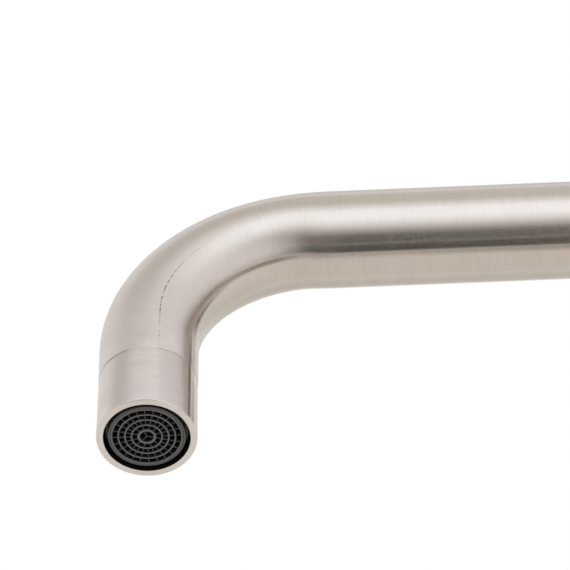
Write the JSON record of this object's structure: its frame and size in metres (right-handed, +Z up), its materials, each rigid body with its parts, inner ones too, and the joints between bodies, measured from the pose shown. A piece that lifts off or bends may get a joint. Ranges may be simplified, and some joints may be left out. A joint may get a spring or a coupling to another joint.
{
  "type": "gooseneck bar faucet",
  "caption": "Single-lever gooseneck bar faucet: flat-topped swivel spout with a recessed aerator, round body with a side valve, and a threaded shank with deck clamp.",
  "frame": {"origin": "centre of the base's seat on the deck", "axes": "+Z up along the body and away from the deck, spout toward -Y, valve and lever toward +X"},
  "size_m": [0.0851, 0.2088, 0.3576],
  "materials": {
    "tube_steel": "satin, brushed round the tube",
    "nozzle_steel": "satin, brushed round the nozzle",
    "body_steel": "satin, brushed round the axis",
    "handle_steel": "satin, brushed",
    "brass": "machined",
    "zinc_steel": "zinc plated",
    "black_steel": "blackened",
    "screen_steel": "bright mesh",
    "seal_rubber": "matte",
    "aerator_shell": "moulded, dark grey",
    "aerator_grid": "moulded, mid grey",
    "white_acetal": "moulded, off-white",
    "black_plastic": "moulded, black",
    "grey_plastic": "moulded, grey",
    "regulator_green": "moulded, green",
    "ceramic": "lapped"
  },
  "bodies": {
    "body": {"faucet_body": "body_steel", "swivel_collar": "body_steel", "lower_thrust_washer": "white_acetal", "upper_thrust_washer": "white_acetal", "base_flange": "body_steel", "base_gasket": "seal_rubber", "mounting_shank": "brass", "deck_rubber_washer": "seal_rubber", "deck_steel_washer": "zinc_steel", "mounting_nut": "brass", "nut_jack_screws": "zinc_steel", "cartridge_base": "white_acetal", "cartridge_port_seals": "seal_rubber", "fixed_ceramic_disc": "ceramic", "cartridge_housing": "white_acetal", "cartridge_nut": "brass", "bonnet": "body_steel"},
    "spout": {"spout_tube": "tube_steel", "outlet_nozzle": "nozzle_steel", "aerator_housing": "aerator_shell", "aerator_outlet_grid": "aerator_grid", "aerator_mixing_screen": "screen_steel", "aerator_jet_plate": "white_acetal", "aerator_flow_regulator": "regulator_green", "aerator_regulator_oring": "seal_rubber", "aerator_inlet_filter": "white_acetal", "aerator_seal": "seal_rubber", "spout_spigot": "brass", "spout_orings": "seal_rubber"},
    "carriage": {"stem_guide": "black_plastic", "pivot_pin": "zinc_steel"},
    "lever": {"lever_stem": "brass", "handle_hub": "handle_steel", "lever_rod": "handle_steel", "handle_grub_screw": "black_steel", "index_plug": "grey_plastic"},
    "disc": {"disc_carrier": "black_plastic", "moving_ceramic_disc": "ceramic"}
  },
  "joints": [
    {"name": "spout_swivel", "type": "hinge", "parent": "body", "child": "spout", "pos_m": [0, 0, 0.1], "axis": [0, 0, 1], "continuous": true},
    {"name": "valve_turn", "type": "hinge", "parent": "body", "child": "carriage", "pos_m": [0.0282, 0, 0.07], "axis": [1, 0, 0], "range_deg": [-45, 45]},
    {"name": "lever_tilt", "type": "hinge", "parent": "carriage", "child": "lever", "pos_m": [0.0282, 0, 0.07], "axis": [0, 1, 0], "range_deg": [0, 25]},
    {"name": "disc_slide", "type": "slide", "parent": "carriage", "child": "disc", "axis": [0, 0, 1], "range_m": [0, 0.0035]}
  ],
  "couplings": [
    {"joint": "disc_slide", "follows": "lever_tilt", "m_per_rad": 0.007824}
  ]
}
